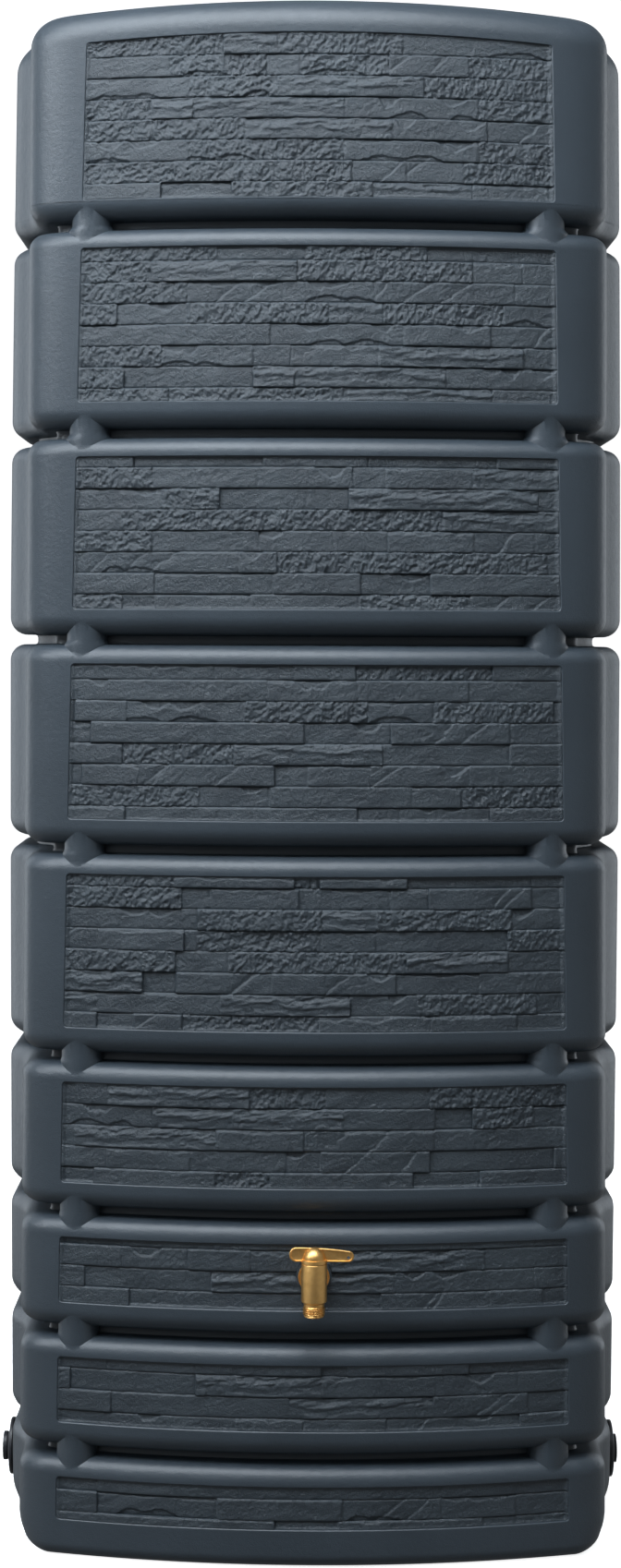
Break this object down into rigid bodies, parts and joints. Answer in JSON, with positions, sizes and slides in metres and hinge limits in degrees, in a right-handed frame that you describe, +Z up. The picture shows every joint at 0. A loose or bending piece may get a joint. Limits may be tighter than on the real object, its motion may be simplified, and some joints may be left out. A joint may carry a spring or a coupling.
{
  "type": "rain barrel",
  "caption": "Slim wall-standing rain barrel of stacked segments with stone-relief panels, a brass lever tap, a round lid, blanked side connections and wall brackets.",
  "frame": {"origin": "centre of the flat base, on the ground", "axes": "+Z up, -Y out of the front where the tap is, +Y to the wall behind, +X to the right seen from the front"},
  "size_m": [0.7896, 0.4602, 1.9148],
  "materials": {
    "tank_plastic": "slate blue-grey blow-moulded polyethylene, satin with fine orange-peel grain, stone-relief panels",
    "lid_plastic": "slate blue-grey injection-moulded plastic, fine spark-eroded grain",
    "brass": "satin brass, fine cast grain, rubbed brighter on the edges",
    "black_plastic": "black injection-moulded plastic, satin",
    "rubber": "black sealing rubber, matt",
    "zinc_steel": "zinc-plated sheet steel, faintly mottled"
  },
  "bodies": {
    "tank": {"tank_shell": "tank_plastic", "tap_insert": "brass", "tap_flange_seal": "rubber", "tap_body": "brass", "tap_stem_seal": "rubber", "tap_retainer": "brass", "port_fitting_left": "black_plastic", "port_seal_left": "rubber", "port_nut_left": "black_plastic", "wall_bracket_left": "zinc_steel", "bracket_screw_left": "zinc_steel", "port_fitting_right": "black_plastic", "port_seal_right": "rubber", "port_nut_right": "black_plastic", "wall_bracket_right": "zinc_steel", "bracket_screw_right": "zinc_steel"},
    "lid_body": {"lid": "lid_plastic", "lid_seal": "rubber"},
    "tap_handle": {"tap_lever": "brass", "tap_rotor": "brass"},
    "plug_left_body": {"port_plug_left": "black_plastic", "plug_seal_left": "rubber"},
    "plug_right_body": {"port_plug_right": "black_plastic", "plug_seal_right": "rubber"}
  },
  "joints": [
    {"name": "lid_lift", "type": "slide", "parent": "tank", "child": "lid_body", "axis": [0, 0, 1], "range_m": [0, 0.15]},
    {"name": "tap_turn", "type": "hinge", "parent": "tank", "child": "tap_handle", "pos_m": [0, -0.245, 0.35], "axis": [0, 0, -1], "range_deg": [0, 90]},
    {"name": "port_plug_left_pull", "type": "slide", "parent": "tank", "child": "plug_left_body", "axis": [-1, 0, 0], "range_m": [0, 0.045]},
    {"name": "port_plug_right_pull", "type": "slide", "parent": "tank", "child": "plug_right_body", "axis": [1, 0, 0], "range_m": [0, 0.045]}
  ]
}
